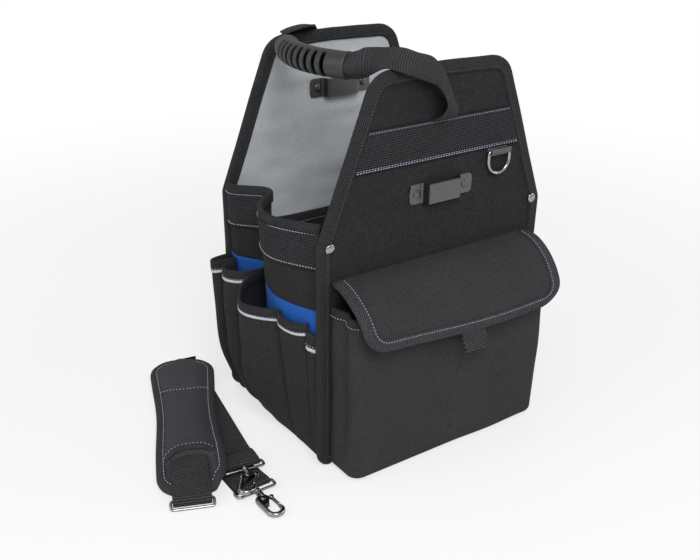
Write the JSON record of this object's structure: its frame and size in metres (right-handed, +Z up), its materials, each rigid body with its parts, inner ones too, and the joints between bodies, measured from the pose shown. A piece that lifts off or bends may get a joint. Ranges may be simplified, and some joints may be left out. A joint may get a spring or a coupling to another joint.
{
  "type": "tool bag",
  "caption": "Open-top fabric tool bag with tall gable ends, a flopped ribbed carrying handle, a flapped front pocket, side tool pockets and a detached padded shoulder strap with snap hooks.",
  "frame": {"origin": "middle of the underside of the base board, on the floor", "axes": "+Z up, -Y out of the front gable with the flapped pocket, +X to the right seen from the front"},
  "size_m": [0.4505, 0.3256, 0.408],
  "materials": {
    "nylon": "black ballistic nylon, close plain weave",
    "lining": "light grey coated twill lining",
    "binding": "black herringbone binding tape",
    "webbing": "black ribbed polypropylene webbing",
    "blue_cloth": "bright blue nylon",
    "nickel": "satin nickel-plated steel",
    "chrome": "bright plated steel",
    "grip_rubber": "dark grey moulded rubber, smooth collars and ribs"
  },
  "bodies": {
    "bag": {"front_panel": "nylon", "front_lining": "lining", "front_edge_tape": "binding", "front_webbing_strip": "webbing", "front_left_shoulder_rivet": "nickel", "front_right_shoulder_rivet": "nickel", "front_ring_loop": "webbing", "front_handle_strap": "webbing", "rear_panel": "nylon", "rear_lining": "lining", "rear_edge_tape": "binding", "rear_webbing_strip": "webbing", "rear_left_shoulder_rivet": "nickel", "rear_right_shoulder_rivet": "nickel", "rear_ring_loop": "webbing", "rear_handle_strap": "webbing", "base_board": "nylon", "left_liner": "blue_cloth", "left_wall": "nylon", "left_webbing_band": "webbing", "left_top_tape": "binding", "left_tool_pocket_1": "nylon", "left_tool_pocket_2": "nylon", "left_tool_pocket_3": "nylon", "left_tool_pocket_4": "nylon", "left_tool_pocket_5": "nylon", "right_liner": "blue_cloth", "right_wall": "nylon", "right_webbing_band": "webbing", "right_top_tape": "binding", "right_tool_pocket_1": "nylon", "right_tool_pocket_2": "nylon", "right_tool_pocket_3": "nylon", "right_tool_pocket_4": "nylon", "right_tool_pocket_5": "nylon", "inner_pocket": "nylon", "front_pocket": "nylon", "front_clip": "nickel", "rear_inner_clip": "nickel"},
    "flap": {"front_flap": "nylon", "flap_edge_tape": "binding", "flap_pull_tab": "webbing"},
    "handle": {"front_handle_arm": "webbing", "rear_handle_arm": "webbing", "handle_grip": "grip_rubber"},
    "front_ring": {"front_d_ring": "chrome"},
    "rear_ring": {"rear_d_ring": "chrome"},
    "strap": {"shoulder_pad": "nylon", "strap_run": "webbing", "strap_tail": "webbing"},
    "strap_link": {"strap_ring": "chrome"},
    "hook_1_swivel_eye": {"hook_1_eye": "chrome"},
    "hook_1": {"hook_1_body": "chrome"},
    "hook_1_latch": {"hook_1_gate": "chrome"},
    "hook_2_swivel_eye": {"hook_2_eye": "chrome"},
    "hook_2": {"hook_2_body": "chrome"},
    "hook_2_latch": {"hook_2_gate": "chrome"}
  },
  "joints": [
    {"name": "flap_lift", "type": "hinge", "parent": "bag", "child": "flap", "pos_m": [0, -0.0946, 0.2042], "axis": [-1, 0, 0], "range_deg": [0, 85]},
    {"name": "handle_swing", "type": "hinge", "parent": "bag", "child": "handle", "pos_m": [0.001, 0, 0.397], "axis": [0, 1, 0], "range_deg": [0, 170]},
    {"name": "front_ring_swing", "type": "hinge", "parent": "bag", "child": "front_ring", "pos_m": [0.0715, -0.09715, 0.298], "axis": [-1, 0, 0], "range_deg": [0, 150]},
    {"name": "rear_ring_swing", "type": "hinge", "parent": "bag", "child": "rear_ring", "pos_m": [-0.0715, 0.09715, 0.298], "axis": [1, 0, 0], "range_deg": [0, 150]},
    {"name": "strap_lift", "type": "slide", "parent": "bag", "child": "strap", "axis": [0, 0, 1], "range_m": [0, 0.35]},
    {"name": "strap_ring_tilt", "type": "hinge", "parent": "strap", "child": "strap_link", "pos_m": [-0.26312, -0.07391, 0.00585], "axis": [-0.9285, 0.3714, 0], "range_deg": [0, 100]},
    {"name": "hook_1_eye_tilt", "type": "hinge", "parent": "strap", "child": "hook_1_swivel_eye", "pos_m": [-0.2, -0.054, 0.0073], "axis": [-0.9877, 0.1564, 0], "range_deg": [0, 11]},
    {"name": "hook_1_swivel", "type": "hinge", "parent": "hook_1_swivel_eye", "child": "hook_1", "pos_m": [-0.2, -0.054, 0.0073], "axis": [0.1558, 0.9839, -0.0872], "range_deg": [-4, 4]},
    {"name": "hook_1_gate_press", "type": "hinge", "parent": "hook_1", "child": "hook_1_latch", "pos_m": [-0.19681, -0.07922, 0.00944], "axis": [-0.0136, -0.0861, -0.9962], "range_deg": [0, 25], "stiffness_Nm_per_rad": 0.05},
    {"name": "hook_2_eye_tilt", "type": "hinge", "parent": "strap", "child": "hook_2_swivel_eye", "pos_m": [-0.205, -0.085, 0.0036], "axis": [-1, 0, 0], "range_deg": [0, 6]},
    {"name": "hook_2_swivel", "type": "hinge", "parent": "hook_2_swivel_eye", "child": "hook_2", "pos_m": [-0.205, -0.085, 0.0036], "axis": [0, 1, 0], "continuous": true},
    {"name": "hook_2_gate_press", "type": "hinge", "parent": "hook_2", "child": "hook_2_latch", "pos_m": [-0.1979, -0.1095, 0.0036], "axis": [0, 0, -1], "range_deg": [0, 25], "stiffness_Nm_per_rad": 0.05}
  ]
}
